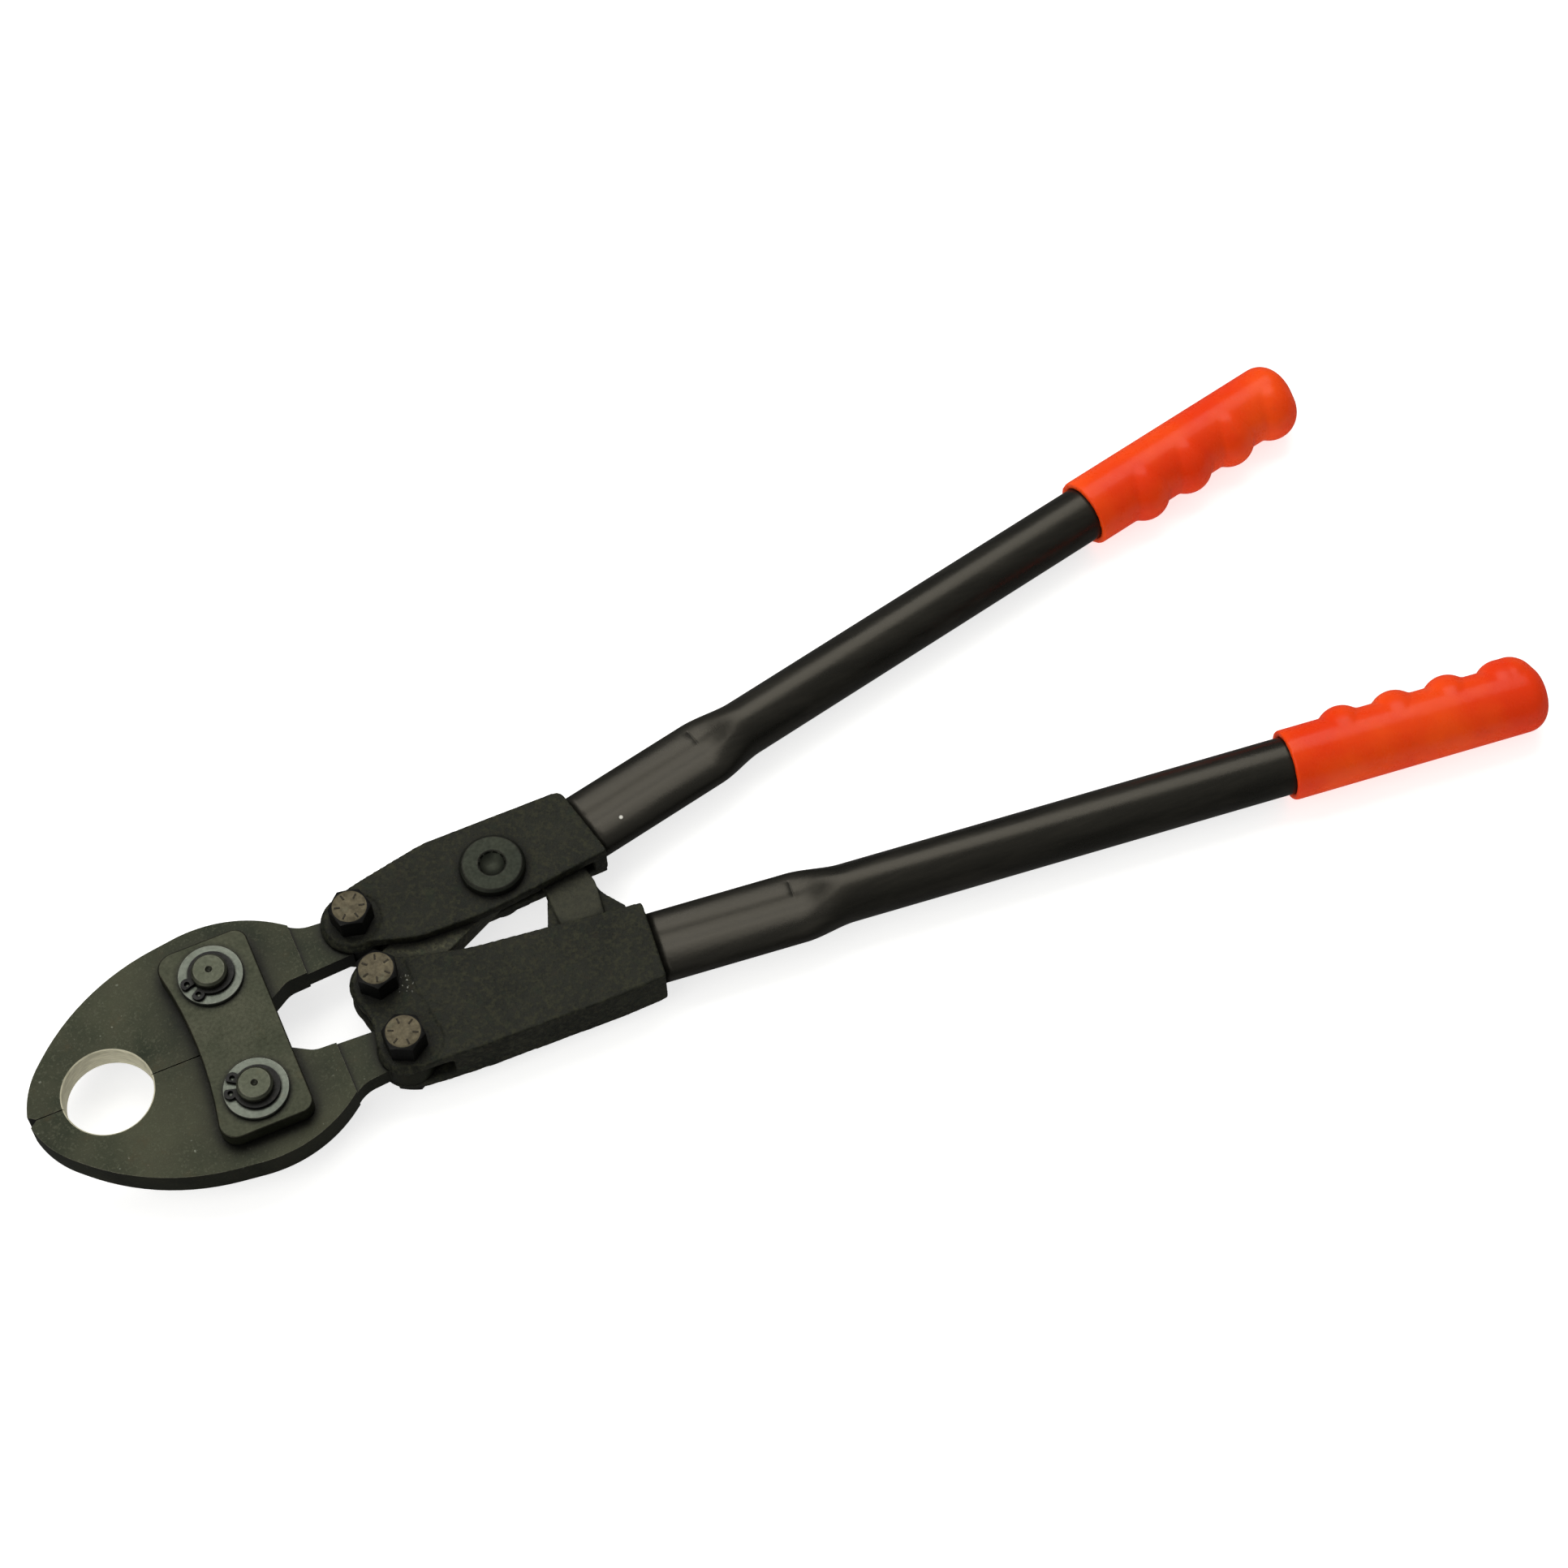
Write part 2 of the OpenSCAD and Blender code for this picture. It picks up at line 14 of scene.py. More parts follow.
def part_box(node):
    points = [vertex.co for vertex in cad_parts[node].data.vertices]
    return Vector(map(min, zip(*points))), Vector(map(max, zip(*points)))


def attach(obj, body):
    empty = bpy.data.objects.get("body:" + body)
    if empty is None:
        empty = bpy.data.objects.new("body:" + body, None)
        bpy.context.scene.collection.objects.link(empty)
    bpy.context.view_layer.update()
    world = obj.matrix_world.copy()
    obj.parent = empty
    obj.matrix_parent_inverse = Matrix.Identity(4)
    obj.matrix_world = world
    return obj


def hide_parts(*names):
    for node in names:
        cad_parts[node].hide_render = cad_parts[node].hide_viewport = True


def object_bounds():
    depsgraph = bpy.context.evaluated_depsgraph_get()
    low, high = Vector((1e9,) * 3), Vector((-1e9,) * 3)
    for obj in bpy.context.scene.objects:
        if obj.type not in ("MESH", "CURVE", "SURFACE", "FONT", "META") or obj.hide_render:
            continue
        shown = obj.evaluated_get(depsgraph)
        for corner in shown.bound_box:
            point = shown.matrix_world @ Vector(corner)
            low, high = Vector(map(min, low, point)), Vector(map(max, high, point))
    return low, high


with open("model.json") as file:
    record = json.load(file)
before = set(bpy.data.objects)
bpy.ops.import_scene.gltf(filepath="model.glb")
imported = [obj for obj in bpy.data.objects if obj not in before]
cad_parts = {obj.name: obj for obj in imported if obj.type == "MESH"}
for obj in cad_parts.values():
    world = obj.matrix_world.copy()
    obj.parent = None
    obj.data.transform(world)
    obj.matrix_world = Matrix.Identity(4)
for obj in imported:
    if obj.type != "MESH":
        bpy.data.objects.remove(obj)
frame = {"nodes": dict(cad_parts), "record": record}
cad_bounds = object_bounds()

MM = 0.001
BODIES = frame["record"]["behaviour"]["bodies"]
BODY_OF = {node: body for body, nodes in BODIES.items() for node in nodes}
SLOT_OF = {part["node"]: part["material_slot"] for part in frame["record"]["subparts"]}

# ---------------------------------------------------------------- places, from the frame


def middle(node):
    """Middle of a CAD node's box."""
    low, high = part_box(node)
    return (Vector(low) + Vector(high)) / 2


CENTRE_BOLT = middle("centre_bolt")
DIE_R = 15 * MM

# Each tube's axis leaves its adapter here, at this angle to +X.
UPPER_SEAT = Vector((178.3, 29.1, 0)) * MM
LOWER_SEAT = Vector((183.0, -22.7, 0)) * MM
UPPER_ANGLE = math.radians(12.1)
LOWER_ANGLE = math.radians(-6.2)


def along(seat, angle):
    """Matrix whose local +X runs along a tube."""
    return Matrix.Translation(seat) @ Matrix.Rotation(angle, 4, "Z")


# ---------------------------------------------------------------- node graphs


class Graph:
    """A material's node graph, built by chaining calls."""

    def __init__(self, name):
        self.material = bpy.data.materials.new(name)
        self.material.use_nodes = True
        self.tree = self.material.node_tree
        self.shader = self.tree.nodes["Principled BSDF"]
        self.place = self.tree.nodes.new("ShaderNodeTexCoord").outputs["Object"]

    def add(self, kind, inputs=(), out=0, **settings):
        """Adds a node with its inputs and settings, and gives back one of its outputs."""
        node = self.tree.nodes.new("ShaderNode" + kind)
        for key, value in settings.items():
            setattr(node, key, value)
        for key, value in dict(inputs).items():
            self.put(node.inputs[key], value)
        return node.outputs[out]

    def put(self, socket, value):
        """Links another node's output to a socket, or sets the socket to a constant."""
        if isinstance(value, bpy.types.NodeSocket):
            self.tree.links.new(value, socket)
        elif value is not None:
            socket.default_value = value

    def noise(self, scale, detail=4.0, rough=0.55, stretch=(1, 1, 1)):
        where = self.place
        if tuple(stretch) != (1, 1, 1):
            where = self.add("Mapping", {"Vector": where, "Scale": stretch})
        values = {"Vector": where, "Scale": scale, "Detail": detail, "Roughness": rough}
        return self.add("TexNoise", values)

    def ramp(self, value, low, high, dark=0.0, bright=1.0):
        """value, taken from low..high to dark..bright and held there outside it."""
        values = {"Value": value, "From Min": low, "From Max": high, "To Min": dark, "To Max": bright}
        return self.add("MapRange", values)

    def mix(self, factor, first, second):
        """The first colour, which turns into the second as factor goes from 0 to 1."""
        node = self.tree.nodes.new("ShaderNodeMix")
        node.data_type = "RGBA"
        factor_in, colour_a, colour_b, colour_out = 0, 6, 7, 2
        for index, value in ((factor_in, factor), (colour_a, first), (colour_b, second)):
            self.put(node.inputs[index], value)
        return node.outputs[colour_out]

    def math(self, operation, first, second=None):
        node = self.tree.nodes.new("ShaderNodeMath")
        node.operation = operation
        self.put(node.inputs[0], first)
        self.put(node.inputs[1], second)
        return node.outputs[0]

    def distance(self, place):
        """Distance from a place on the object."""
        return self.add("VectorMath", {0: self.place, 1: place}, out="Value", operation="DISTANCE")

    def bump(self, height, strength, distance, under=None):
        """A normal with relief, laid over the relief of another."""
        values = {"Height": height, "Strength": strength, "Distance": distance, "Normal": under}
        return self.add("Bump", values)

    def painted_shade(self, colour, reach, depth=1.0):
        """Darkens a colour within reach of corners and contact lines, found by ambient occlusion: painted
        shade.
        """
        occlusion = self.add("AmbientOcclusion", {"Distance": reach}, out="AO", samples=6)
        return self.mix(self.ramp(occlusion, 0.55, 0.98, depth, 0.0), colour, SHADE_BLACK)

    def surface(self, **values):
        """Sets the shader's sockets, named with _ for a space, and gives back the material."""
        for key, value in values.items():
            self.put(self.shader.inputs[key.replace("_", " ")], value)
        return self.material


def rgb(red, green, blue):
    return (red, green, blue, 1.0)


# ---------------------------------------------------------------- materials

# Near-black colour of the painted shade in corners and along contact lines
SHADE_BLACK = rgb(0.006, 0.006, 0.005)
BARE_METAL = rgb(0.24, 0.24, 0.20)
OXIDE_METALLIC = 0.8


def oxide_steel(name, dark, light, rough=(0.42, 0.56), worn=0.0, shade_reach=2.4 * MM):
    """Black-oxide ground steel: blotches, fine grinding marks and, on edges, bare metal."""
    g = Graph(name)
    blotch = g.noise(70, 5, 0.6)
    fine = g.noise(900, 3)
    grind = g.noise(600, 3, 0.6, (0.25, 4.0, 1.0))
    colour = g.mix(g.ramp(blotch, 0.34, 0.68), dark, light)
    brown = g.ramp(g.noise(160, 6, 0.65), 0.6, 0.74, 0.0, 0.3)
    colour = g.mix(brown, colour, rgb(light[0] * 1.15, light[1] * 0.9, light[2] * 0.7))
    if worn:
        bare = g.ramp(g.noise(420, 5, 0.7), 0.62 - 0.25 * worn, 0.72, 0.0, worn)
        colour = g.mix(bare, colour, BARE_METAL)
    # Painted shade in corners and along contact lines
    colour = g.painted_shade(colour, shade_reach)
    gloss = g.math(
        "ADD",
        g.ramp(fine, 0.3, 0.7, *rough),
        g.ramp(blotch, 0.3, 0.7, -0.05, 0.05),
    )
    relief = g.bump(grind, 0.12, 0.1 * MM, g.bump(fine, 0.2, 0.15 * MM))
    return g.surface(Base_Color=colour, Metallic=OXIDE_METALLIC, Roughness=gloss, Normal=relief)


def jaw_steel(name, worn=0.0):
    """Oxide steel with cloudy tone and stray specks; the die's wall is ground bright."""
    g = Graph(name)
    cloud = g.noise(26, 4, 0.55)
    blotch = g.noise(90, 6, 0.65)
    fine = g.noise(1100, 3)
    grind = g.noise(700, 3, 0.6, (0.3, 3.0, 1.0))
    colour = g.mix(g.ramp(cloud, 0.36, 0.64), rgb(0.006, 0.009, 0.004), rgb(0.028, 0.030, 0.017))
    colour = g.mix(g.ramp(blotch, 0.42, 0.72, 0, 0.55), colour, rgb(0.042, 0.042, 0.027))
    brown = g.ramp(g.noise(130, 6, 0.7), 0.58, 0.74, 0, 0.5)
    colour = g.mix(brown, colour, rgb(0.036, 0.026, 0.012))
    colour = g.mix(g.ramp(fine, 0.52, 0.7, 0, 0.5), colour, rgb(0.070, 0.074, 0.050))
    speck = g.ramp(g.noise(520, 2, 0.5), 0.73, 0.78, 0, 0.5)
    colour = g.mix(speck, colour, rgb(0.16, 0.17, 0.14))
    if worn:
        bare = g.ramp(g.noise(300, 5, 0.7), 0.38, 0.68, 0.15, 0.8)
        colour = g.mix(bare, colour, rgb(0.20, 0.195, 0.15))
    flat = g.add("VectorMath", {0: g.place, 1: (1, 1, 0)}, operation="MULTIPLY")
    radius = g.add("VectorMath", {0: flat}, out="Value", operation="LENGTH")
    inside = g.ramp(radius, DIE_R + 0.35 * MM, DIE_R + 0.5 * MM, 1.0, 0.0)
    streak = g.ramp(g.noise(300, 4, 0.6, (1, 1, 9)), 0.35, 0.65)
    turned = g.mix(streak, rgb(0.42, 0.40, 0.29), rgb(0.66, 0.63, 0.48))
    # Painted shade: a broad darkening near the strap and washers, and dark lines in corners and along
    # contact lines
    colour = g.painted_shade(g.painted_shade(colour, 16 * MM, 0.8), 3.5 * MM)
    colour = g.mix(inside, colour, turned)
    metal = g.ramp(inside, 0, 1, OXIDE_METALLIC, 0.1)
    gloss = g.math(
        "ADD",
        g.ramp(fine, 0.3, 0.7, 0.40, 0.52),
        g.ramp(blotch, 0.3, 0.7, -0.04, 0.06),
    )
    relief = g.bump(grind, 0.12, 0.1 * MM, g.bump(fine, 0.2, 0.15 * MM))
    return g.surface(Base_Color=colour, Metallic=metal, Roughness=gloss, Normal=relief)


def casting(name, dark, light, chip_at=None, bare_at=None):
    """Rough black casting with brown and green bloom and pits. It may have chips near one place
    and be rubbed bare near another."""
    g = Graph(name)
    grain = g.noise(560, 5, 0.7)
    pits = g.add("TexVoronoi", {"Vector": g.place, "Scale": 620.0, "Randomness": 1.0})
    cloud = g.noise(60, 5, 0.6)
    colour = g.mix(g.ramp(cloud, 0.35, 0.68), dark, light)
    bloom = rgb(light[0] * 2.3, light[1] * 2.2, light[2] * 1.9)
    colour = g.mix(g.ramp(grain, 0.46, 0.66, 0, 0.85), colour, bloom)
    colour = g.mix(g.ramp(pits, 0.05, 0.3, 0.6, 0), colour, rgb(0.004, 0.004, 0.003))
    brown = rgb(light[0] * 1.5, light[1] * 0.95, light[2] * 0.75)
    colour = g.mix(g.ramp(g.noise(240, 5, 0.7), 0.58, 0.75, 0, 0.5), colour, brown)
    green = rgb(light[0] * 0.75, light[1] * 1.15, light[2] * 0.95)
    colour = g.mix(g.ramp(g.noise(190, 4, 0.6, (1.3, 0.8, 1)), 0.58, 0.72, 0, 0.5), colour, green)
    if chip_at:
        close = g.ramp(g.distance(chip_at), 1.5 * MM, 5 * MM, 1.0, 0.0)
        chip = g.math("MULTIPLY", close, g.ramp(g.noise(760, 3, 0.6), 0.6, 0.64))
        colour = g.mix(chip, colour, rgb(0.42, 0.43, 0.38))
    if bare_at:
        offset = g.add("VectorMath", {0: g.place, 1: bare_at}, operation="SUBTRACT")
        flattened = g.add("VectorMath", {0: offset, 1: (1, 1, 9)}, operation="MULTIPLY")
        reach = g.add("VectorMath", {0: flattened}, out="Value", operation="LENGTH")
        rubbed = g.ramp(reach, 8 * MM, 12 * MM, 0.8, 0.0)
        rubbed = g.math("MULTIPLY", rubbed, g.ramp(grain, 0.35, 0.6, 0.5, 1.0))
        colour = g.mix(rubbed, colour, rgb(0.055, 0.055, 0.038))
    # Painted shade in corners and along contact lines
    colour = g.painted_shade(colour, 3.5 * MM)
    gloss = g.ramp(grain, 0.35, 0.7, 0.52, 0.78)
    coarse = g.bump(grain, 0.7, 0.8 * MM)
    relief = g.bump(g.ramp(pits, 0.0, 0.35), 0.25, 0.3 * MM, coarse)
    return g.surface(
        Base_Color=colour, Metallic=0.3, Roughness=gloss, Normal=relief, Specular_IOR_Level=0.25
    )


def enamel(name, chip_at):
    """Satin black enamel on drawn tube: orange peel, long faint scuffs, dust and one small chip."""
    g = Graph(name)
    peel = g.noise(520, 2, 0.4)
    scuff = g.noise(70, 6, 0.7, (0.3, 2.2, 2.2))
    dust = g.noise(1500, 4, 0.7)
    colour = g.mix(g.ramp(scuff, 0.45, 0.75), rgb(0.006, 0.006, 0.005), rgb(0.016, 0.015, 0.012))
    rub = g.ramp(g.noise(210, 6, 0.75, (0.6, 1.6, 1.6)), 0.66, 0.78, 0, 0.35)
    colour = g.mix(rub, colour, rgb(0.065, 0.047, 0.034))
    colour = g.mix(g.ramp(dust, 0.66, 0.8, 0, 0.4), colour, rgb(0.055, 0.052, 0.042))
    offset = g.distance(chip_at)
    colour = g.mix(g.ramp(offset, 1.1 * MM, 1.5 * MM, 1, 0), colour, rgb(0.003, 0.003, 0.003))
    colour = g.mix(g.ramp(offset, 0.45 * MM, 0.8 * MM, 1, 0), colour, rgb(0.6, 0.6, 0.56))
    gloss = g.math(
        "ADD",
        g.ramp(scuff, 0.35, 0.75, 0.27, 0.38),
        g.ramp(dust, 0.4, 0.7, -0.02, 0.05),
    )
    relief = g.bump(peel, 0.10, 0.3 * MM, g.bump(dust, 0.06, 0.1 * MM))
    return g.surface(
        Base_Color=colour, Roughness=gloss, Normal=relief, Specular_IOR_Level=0.34,
        Specular_Tint=rgb(1.0, 0.93, 0.80),
    )


def vinyl(name):
    """Orange-red dipped vinyl, a little waxy, with faint mottling and handling scuffs."""
    g = Graph(name)
    mottle = g.noise(38, 4, 0.5)
    speck = g.noise(800, 4, 0.7)
    colour = g.mix(g.ramp(mottle, 0.35, 0.65), rgb(0.80, 0.040, 0.003), rgb(0.90, 0.075, 0.005))
    handled = g.ramp(g.noise(120, 6, 0.75), 0.58, 0.78, 0, 0.25)
    colour = g.mix(handled, colour, rgb(0.50, 0.050, 0.010))
    colour = g.mix(g.ramp(speck, 0.68, 0.8, 0, 0.3), colour, rgb(0.34, 0.02, 0.008))
    gloss = g.math(
        "ADD",
        g.ramp(g.noise(140, 5, 0.7), 0.35, 0.75, 0.22, 0.36),
        g.ramp(speck, 0.4, 0.8, 0, 0.06),
    )
    relief = g.bump(g.noise(160, 3, 0.5), 0.12, 0.6 * MM, g.bump(speck, 0.08, 0.1 * MM))
    return g.surface(
        Base_Color=colour, Roughness=gloss, Normal=relief, Subsurface_Weight=0.1,
        Subsurface_Radius=(4 * MM, 1 * MM, 0.5 * MM), Specular_IOR_Level=0.16,
    )


def rubbed_face(name):
    """Top of a bolt head: oxide rubbed through to tan-grey metal, mottled and pitted."""
    g = Graph(name)
    fine = g.noise(900, 4, 0.6)
    patch = g.noise(380, 5, 0.65)
    colour = g.mix(g.ramp(patch, 0.35, 0.68), rgb(0.046, 0.037, 0.019), rgb(0.092, 0.076, 0.043))
    colour = g.mix(g.ramp(g.noise(260, 3, 0.5), 0.6, 0.75, 0, 0.5), colour, rgb(0.085, 0.090, 0.058))
    colour = g.mix(g.ramp(fine, 0.62, 0.78, 0, 0.5), colour, rgb(0.03, 0.024, 0.014))
    gloss = g.ramp(fine, 0.3, 0.7, 0.42, 0.62)
    relief = g.bump(fine, 0.35, 0.2 * MM)
    return g.surface(Base_Color=colour, Metallic=0.55, Roughness=gloss, Normal=relief)


def floor_finish(name):
    """Plain pale matt board, lit from within like a light table, so that shadows stay faint."""
    g = Graph(name)
    fibre = g.noise(40, 5, 0.6)
    colour = g.mix(fibre, rgb(0.60, 0.60, 0.595), rgb(0.62, 0.62, 0.62))
    gloss = g.ramp(fibre, 0.3, 0.7, 0.75, 0.85)
    return g.surface(
        Base_Color=colour, Roughness=gloss, Specular_IOR_Level=0.1,
        Emission_Color=rgb(1.0, 1.0, 1.0), Emission_Strength=0.72,
    )


# Chips beside the centre bolt's ear, the rubbed face of the stop lug, and one chip in the enamel
# of the upper tube
CHIP_AT = CENTRE_BOLT + Vector((6.5, -4.5, 0)) * MM
CHIP_AT.z = 8 * MM
LUG_FACE = Vector((165.5, 5, 3.1)) * MM
TUBE_CHIP = Vector((191, 25.4, 5.2)) * MM

# Each slot's finish, and the finish of its rounded edges: worn metal, and on the strap and rivet a darker
# painted shade
FINISH = {
    "jaw_steel": jaw_steel("jaw_steel"),
    "strap_steel": oxide_steel("strap_steel", rgb(0.020, 0.023, 0.013), rgb(0.044, 0.046, 0.030)),
    "pin_steel": oxide_steel("pin_steel", rgb(0.042, 0.047, 0.031), rgb(0.078, 0.083, 0.060)),
    "washer_steel": oxide_steel(
        "washer_steel", rgb(0.070, 0.080, 0.066), rgb(0.115, 0.126, 0.106), rough=(0.36, 0.5),
        shade_reach=0.9 * MM,
    ),
    "ring_steel": oxide_steel("ring_steel", rgb(0.008, 0.008, 0.008), rgb(0.018, 0.018, 0.018)),
    "bolt_steel": oxide_steel("bolt_steel", rgb(0.004, 0.004, 0.0045), rgb(0.011, 0.011, 0.010)),
    "nut_steel": oxide_steel("nut_steel", rgb(0.010, 0.010, 0.009), rgb(0.026, 0.025, 0.021)),
    "cast_metal": casting(
        "cast_metal", rgb(0.008, 0.009, 0.006), rgb(0.017, 0.018, 0.012), tuple(CHIP_AT), tuple(LUG_FACE)
    ),
    "link_steel": casting("link_steel", rgb(0.026, 0.027, 0.018), rgb(0.044, 0.045, 0.032)),
    "rivet_steel": oxide_steel(
        "rivet_steel", rgb(0.013, 0.016, 0.011), rgb(0.030, 0.034, 0.024), rough=(0.46, 0.62)
    ),
    "tube_paint": enamel("tube_paint", tuple(TUBE_CHIP)),
    "grip_vinyl": vinyl("grip_vinyl"),
}
EDGE_WEAR_AND_SHADE = {
    "jaw_steel": jaw_steel("jaw_steel_worn", worn=1.0),
    # The strap's rounded edges are darker: painted shade, with a little wear
    "strap_steel": oxide_steel(
        "strap_steel_edge_wear_and_shade", rgb(0.010, 0.011, 0.006), rgb(0.022, 0.021, 0.013), worn=0.1
    ),
    "washer_steel": oxide_steel(
        "washer_steel_worn", rgb(0.12, 0.13, 0.11), rgb(0.20, 0.21, 0.185), worn=0.5,
        shade_reach=0.9 * MM,
    ),
    "pin_steel": oxide_steel("pin_steel_worn", rgb(0.06, 0.064, 0.046), rgb(0.10, 0.10, 0.076), worn=0.4),
    # The rivet's rounded rim is darker: painted shade, with a little wear
    "rivet_steel": oxide_steel(
        "rivet_steel_edge_wear_and_shade", rgb(0.009, 0.010, 0.007), rgb(0.018, 0.019, 0.014), worn=0.1
    ),
}
BOLT_FACE = rubbed_face("bolt_face")
BOLT_MARK = oxide_steel("bolt_mark", rgb(0.012, 0.010, 0.007), rgb(0.024, 0.020, 0.013))

# ---------------------------------------------------------------- pieces

WELD = 0.001 * MM
FLAT_ANGLE = math.radians(0.5)
SHARP_ANGLE = math.radians(32)
VOXEL = 0.5 * MM


def finished(piece, node, extra=()):
    """Puts a piece on its body, in the slot of the CAD node that it replaces."""
    slot = SLOT_OF[node]
    piece.data.materials.clear()
    piece.data.materials.append(FINISH[slot])
    if slot in EDGE_WEAR_AND_SHADE:
        piece.data.materials.append(EDGE_WEAR_AND_SHADE[slot])
    for material in extra:
        piece.data.materials.append(material)
    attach(piece, BODY_OF[node])
    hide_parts(node)
    return piece


def linked(name, mesh):
    """A new object in the scene."""
    piece = bpy.data.objects.new(name, mesh)
    bpy.context.scene.collection.objects.link(piece)
    return piece


def smooth(mesh):
    for face in mesh.polygons:
        face.use_smooth = True


def copy_of(node):
    """A welded copy of a CAD node's mesh, its flat faces merged into single polygons."""
    mesh = frame["nodes"][node].data.copy()
    mesh.name = node + "_shape"
    bm = bmesh.new()
    bm.from_mesh(mesh)
    bmesh.ops.remove_doubles(bm, verts=bm.verts, dist=WELD)
    bmesh.ops.dissolve_limit(bm, angle_limit=FLAT_ANGLE, verts=bm.verts, edges=bm.edges)
    bm.to_mesh(mesh)
    bm.free()
    split_normals = mesh.attributes.get("custom_normal")
    if split_normals:
        mesh.attributes.remove(split_normals)
    return linked(node + "_skin", mesh)


def bevelled(node, width, segments=3, extra=()):
    """The CAD shape with every sharp edge rounded; the rounding takes the edge material: worn metal, or
    painted shade on the strap and rivet.
    """
    piece = copy_of(node)
    smooth(piece.data)
    edge = piece.modifiers.new("edge", "BEVEL")
    edge.width = width
    edge.segments = segments
    edge.limit_method = "ANGLE"
    edge.angle_limit = SHARP_ANGLE
    edge.harden_normals = True
    edge.use_clamp_overlap = True
    if SLOT_OF[node] in EDGE_WEAR_AND_SHADE:
        edge.material = 1
    return finished(piece, node, extra)


def bolt(node):
    """Bolt whose head has a rubbed top with dark grade marks."""
    piece = bevelled(node, 0.12 * MM, 2, extra=(BOLT_FACE, BOLT_MARK))
    face_slot, mark_slot = 1, 2
    mark_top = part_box(node)[1][2]
    for face in piece.data.polygons:
        below = mark_top - face.center.z
        if face.normal.z > 0.95 and below < 0.25 * MM:
            face.material_index = mark_slot if below < 0.05 * MM else face_slot
    return piece


def remeshed(node, passes, lumps=0.0, lump_size=0.0):
    """The CAD shape with soft, cast or moulded edges, and lumps of real relief."""
    piece = copy_of(node)
    remesh = piece.modifiers.new("skin", "REMESH")
    remesh.mode = "VOXEL"
    remesh.voxel_size = VOXEL
    remesh.use_smooth_shade = True
    relax = piece.modifiers.new("relax", "SMOOTH")
    relax.factor = 0.5
    relax.iterations = passes
    if lumps:
        cloud = bpy.data.textures.new(node + "_lumps", "CLOUDS")
        cloud.noise_scale = lump_size
        cloud.noise_depth = 3
        cast = piece.modifiers.new("lumps", "DISPLACE")
        cast.texture = cloud
        cast.strength = lumps
        cast.mid_level = 0.75
    return finished(piece, node)


# The tube, as in the CAD: half width and half thickness of its flat, radius, wall and lengths
FLAT_HALF_W = 12.7 * MM
FLAT_HALF_T = 5.4 * MM
TUBE_R = 10 * MM
TUBE_WALL = 2 * MM
FLAT_LEN = 49 * MM
FLARE_LEN = 18 * MM
# Power of the flat's superellipse; 2 is an ellipse
SQUARENESS = 2.8
# Groove along the middle of each flat
DISH = 0.5 * MM
DISH_HALF_W = 4.5 * MM
# Short line scribed across the top where the flare starts
SCRIBE_DEPTH = 0.15 * MM
SCRIBE_Y = (1 * MM, 8 * MM)
SCRIBE_X = (-0.3 * MM, -0.1 * MM, 0.1 * MM, 0.3 * MM)
# Rings along each stretch of a tube, and points round each ring
FLAT_RINGS = 14
FLARE_RINGS = 28
FAR_RINGS = 10
RING_POINTS = 128


def ease(x):
    """Smooth step from 0 to 1."""
    x = min(1.0, max(0.0, x))
    return x * x * (3 - 2 * x)


def section(x, t, inset):
    """Point at fraction t round the tube at a distance x from its adapter.

    The pressed stretch is a superellipse with a shallow groove along its flats.
    """
    roundness = ease((x - FLAT_LEN) / FLARE_LEN)
    power = 2 / (SQUARENESS + (2 - SQUARENESS) * roundness)
    half_w = FLAT_HALF_W + (TUBE_R - FLAT_HALF_W) * roundness - inset
    half_t = FLAT_HALF_T + (TUBE_R - FLAT_HALF_T) * roundness - inset
    angle = 2 * math.pi * t
    y = math.copysign(half_w * abs(math.cos(angle)) ** power, math.cos(angle))
    z = math.copysign(half_t * abs(math.sin(angle)) ** power, math.sin(angle))
    groove = math.cos(min(1.0, abs(y) / DISH_HALF_W) * math.pi / 2) ** 2
    z -= math.copysign(DISH * groove * (1 - roundness), z)
    return y, z


def tube_stations(length):
    """Distances of the rings along the tube, close together in the flare."""
    far_len = length - FLAT_LEN - FLARE_LEN
    flat = [FLAT_LEN * i / FLAT_RINGS for i in range(FLAT_RINGS)]
    scribe = [FLAT_LEN + x for x in SCRIBE_X]
    flare = [FLAT_LEN + FLARE_LEN * i / FLARE_RINGS for i in range(1, FLARE_RINGS + 1)]
    far = [FLAT_LEN + FLARE_LEN + far_len * i / FAR_RINGS for i in range(1, FAR_RINGS + 1)]
    return flat + scribe + flare + far


def tube(node, seat, angle):
    """Drawn tube, pressed flat and slightly dished at the adapter and flared to round."""
    cad = frame["nodes"][node].data
    to_local = along(seat, angle).inverted()
    length = max((to_local @ vertex.co).x for vertex in cad.vertices)
    bm = bmesh.new()
    rings = []
    walls = [(x, 0.0) for x in tube_stations(length)]
    walls += [(x, TUBE_WALL) for x in reversed(tube_stations(length))]
    for x, inset in walls:
        scribed = abs(x - FLAT_LEN) < 0.2 * MM and not inset
        ring = []
        for i in range(RING_POINTS):
            y, z = section(x, (i + 0.5) / RING_POINTS, inset)
            if scribed and z > 0 and SCRIBE_Y[0] < y < SCRIBE_Y[1]:
                z -= SCRIBE_DEPTH
            ring.append(bm.verts.new((x, y, z)))
        rings.append(ring)
    for first, second in zip(rings, rings[1:] + rings[:1]):
        for i in range(RING_POINTS):
            j = (i + 1) % RING_POINTS
            bm.faces.new((first[i], first[j], second[j], second[i]))
    bmesh.ops.transform(bm, matrix=along(seat, angle), verts=bm.verts)
    bmesh.ops.recalc_face_normals(bm, faces=bm.faces)
    mesh = bpy.data.meshes.new(node + "_shape")
    bm.to_mesh(mesh)
    bm.free()
    smooth(mesh)
    return finished(linked(node + "_skin", mesh), node)


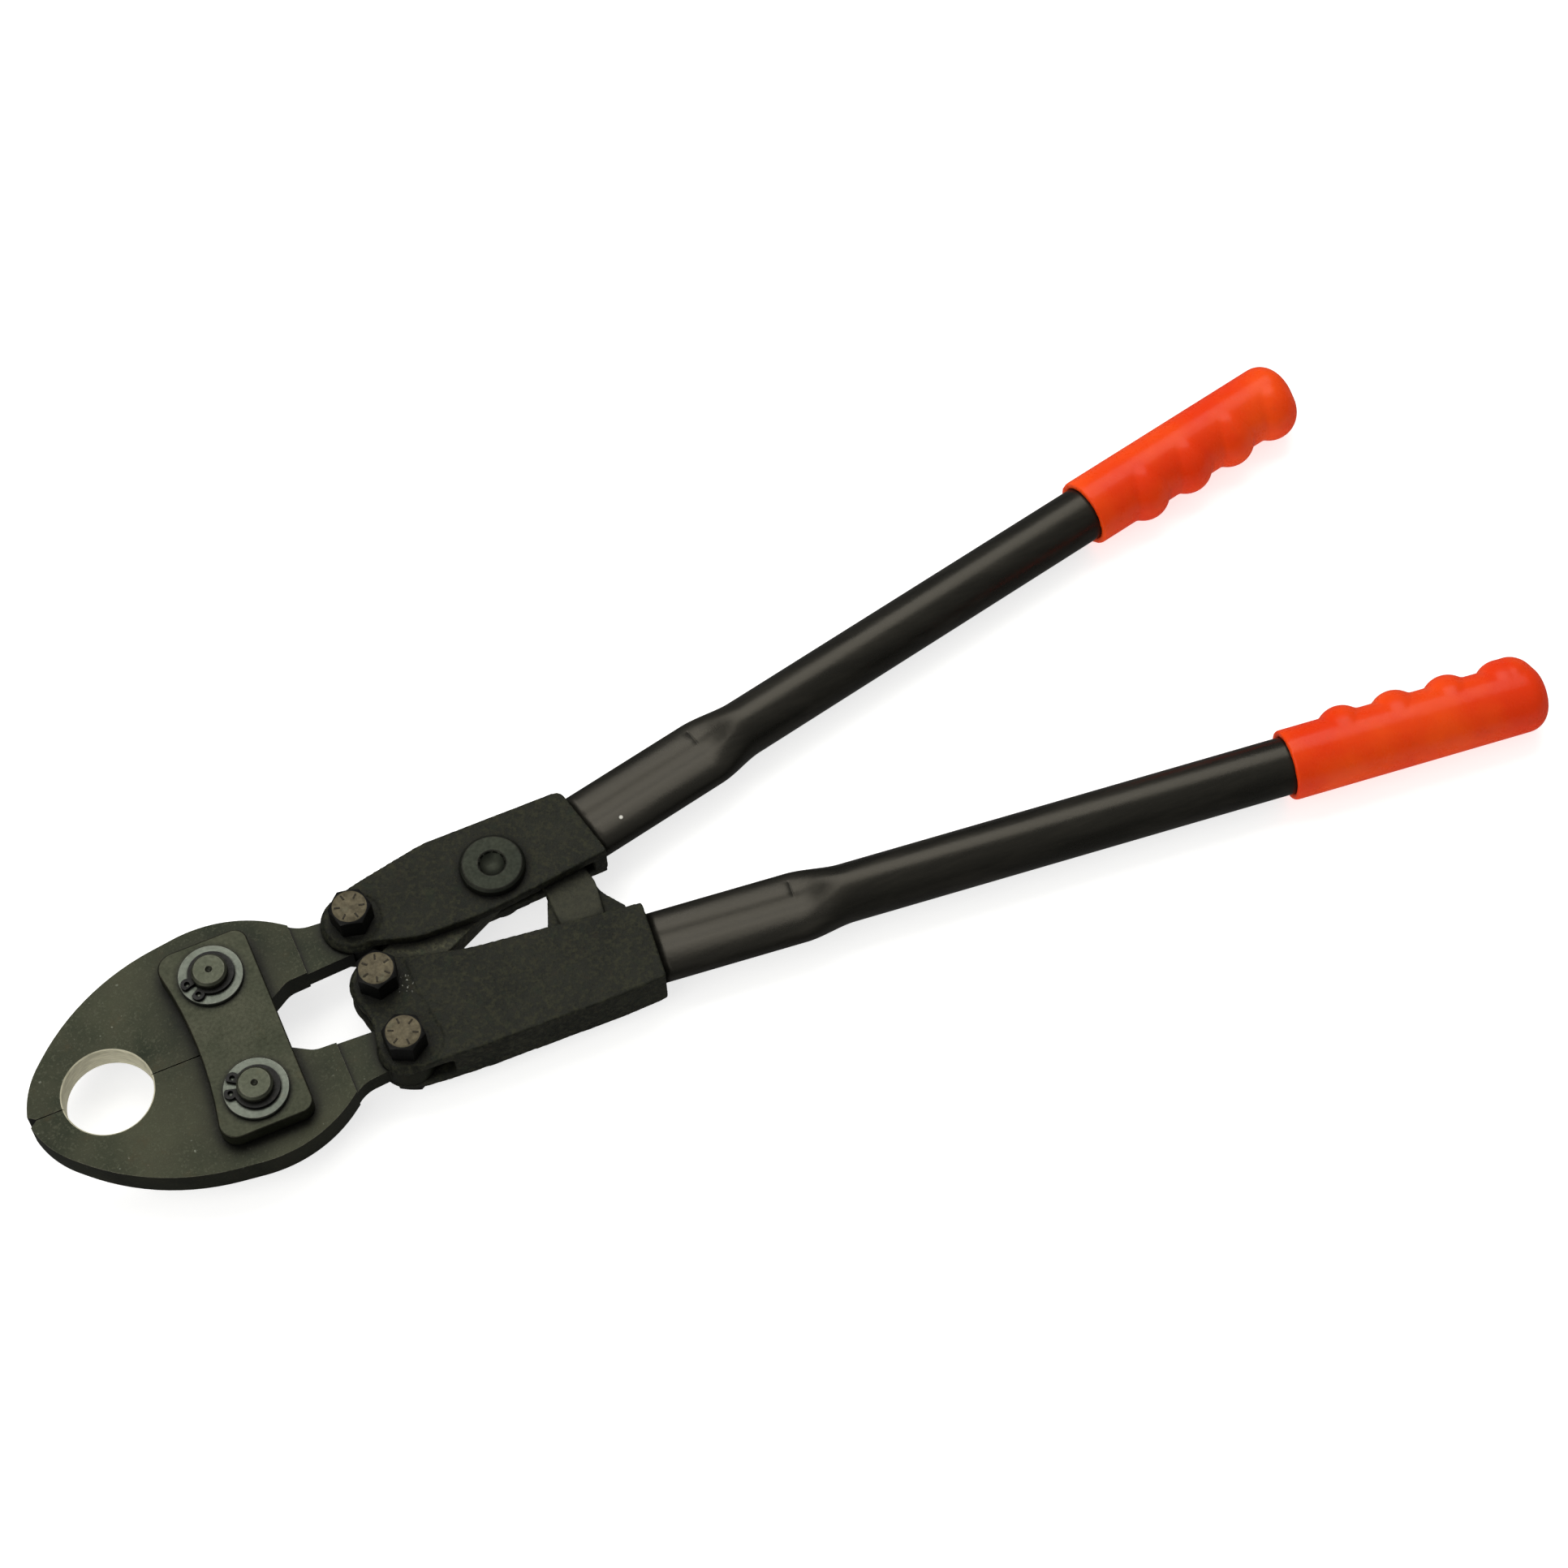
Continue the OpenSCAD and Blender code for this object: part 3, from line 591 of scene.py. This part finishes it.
for node in ("upper_jaw", "lower_jaw"):
    bevelled(node, 0.35 * MM)
for node in ("front_strap", "rear_strap"):
    bevelled(node, 1.9 * MM, 6)
for node in ("upper_jaw_pin", "lower_jaw_pin"):
    bevelled(node, 0.2 * MM, 2)
for place in ("front_upper", "front_lower", "rear_upper", "rear_lower"):
    bevelled(place + "_washer", 0.3 * MM, 2)
    bevelled(place + "_ring", 0.2 * MM, 2)
for node in ("centre_bolt", "upper_jaw_bolt", "lower_jaw_bolt"):
    bolt(node)
for node in ("centre_nut", "upper_jaw_nut", "lower_jaw_nut"):
    bevelled(node, 0.3 * MM, 2)
bevelled("link_rivet", 0.6 * MM, 3)
bevelled("centre_link", 0.6 * MM, 3)
for node in ("upper_adapter", "lower_adapter"):
    remeshed(node, passes=3, lumps=0.22 * MM, lump_size=1.4 * MM)
for node in ("upper_grip", "lower_grip"):
    remeshed(node, passes=16)
tube("upper_tube", UPPER_SEAT, UPPER_ANGLE)
tube("lower_tube", LOWER_SEAT, LOWER_ANGLE)

# ---------------------------------------------------------------- floor, light and camera

# The tool rests on the ends of its jaw pins and on the far end of the lower grip
PIN_X = middle("upper_jaw_pin").x
PIN_LOW = cad_bounds[0][2]
GRIP_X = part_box("lower_grip")[1][0]
GRIP_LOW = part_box("lower_grip")[0][2]
FLOOR_TILT = math.atan2(GRIP_LOW - PIN_LOW, GRIP_X - PIN_X)
FLOOR_GAP = 0.05 * MM


def floor():
    """The board, which tilts up towards the grips."""
    bpy.ops.mesh.primitive_plane_add(size=12)
    board = bpy.context.object
    board.name = "floor"
    board.location = (PIN_X, 0, PIN_LOW - FLOOR_GAP)
    board.rotation_euler = (0, -FLOOR_TILT, 0)
    board.visible_glossy = False
    board.data.materials.append(floor_finish("floor_board"))


def area_light(name, place, target, size, power, colour):
    """A rectangular softbox that points at a target."""
    lamp = bpy.data.lights.new(name, "AREA")
    lamp.shape = "RECTANGLE"
    lamp.size, lamp.size_y = size
    lamp.energy = power
    lamp.color = colour
    holder = bpy.data.objects.new(name, lamp)
    bpy.context.scene.collection.objects.link(holder)
    holder.location = place
    holder.rotation_euler = (Vector(target) - Vector(place)).to_track_quat("-Z", "Y").to_euler()


def dome(overhead, horizon):
    """World light that is bright overhead and dim towards the horizon."""
    world = bpy.data.worlds.new("studio")
    world.use_nodes = True
    nodes, links = world.node_tree.nodes, world.node_tree.links
    direction = nodes.new("ShaderNodeTexCoord")
    height = nodes.new("ShaderNodeSeparateXYZ")
    links.new(direction.outputs["Generated"], height.inputs["Vector"])
    fade = nodes.new("ShaderNodeMapRange")
    fade.inputs["From Min"].default_value = 0.1
    fade.inputs["From Max"].default_value = 0.9
    fade.inputs["To Min"].default_value = horizon
    fade.inputs["To Max"].default_value = overhead
    links.new(height.outputs["Z"], fade.inputs["Value"])
    background = nodes["Background"]
    background.inputs["Color"].default_value = rgb(1.0, 1.0, 0.97)
    links.new(fade.outputs["Result"], background.inputs["Strength"])
    bpy.context.scene.world = world


def lights():
    """A softbox that the tool's flat faces mirror towards the camera, a fill, and the dome."""
    dome(0.42, 0.11)
    target = (0.22, 0, 0)
    area_light("key", (0.35, 0.8, 1.35), target, (1.7, 1.2), 20, (1.0, 0.985, 0.93))
    area_light("fill", (-0.9, -0.3, 1.0), target, (1.1, 1.1), 7, (1.0, 0.99, 0.94))


def camera():
    """Seen from over the lower handle, looking along the tool and 60 degrees down."""
    place = Vector((0.02219, -0.54561, 1.06530))
    right = Vector((0.91496, -0.40306, -0.01952))
    down = Vector((-0.35929, -0.79166, -0.49414))
    ahead = Vector((0.18372, 0.45914, -0.86916))
    lens = bpy.data.cameras.new("camera")
    lens.sensor_width = 36
    lens.lens = 82.62
    eye = bpy.data.objects.new("camera", lens)
    bpy.context.scene.collection.objects.link(eye)
    axes = Matrix((right, -down, -ahead)).transposed()
    eye.matrix_world = Matrix.Translation(place) @ axes.to_4x4()
    bpy.context.scene.camera = eye


floor()
lights()
camera()
bpy.context.scene.view_settings.view_transform = "Standard"
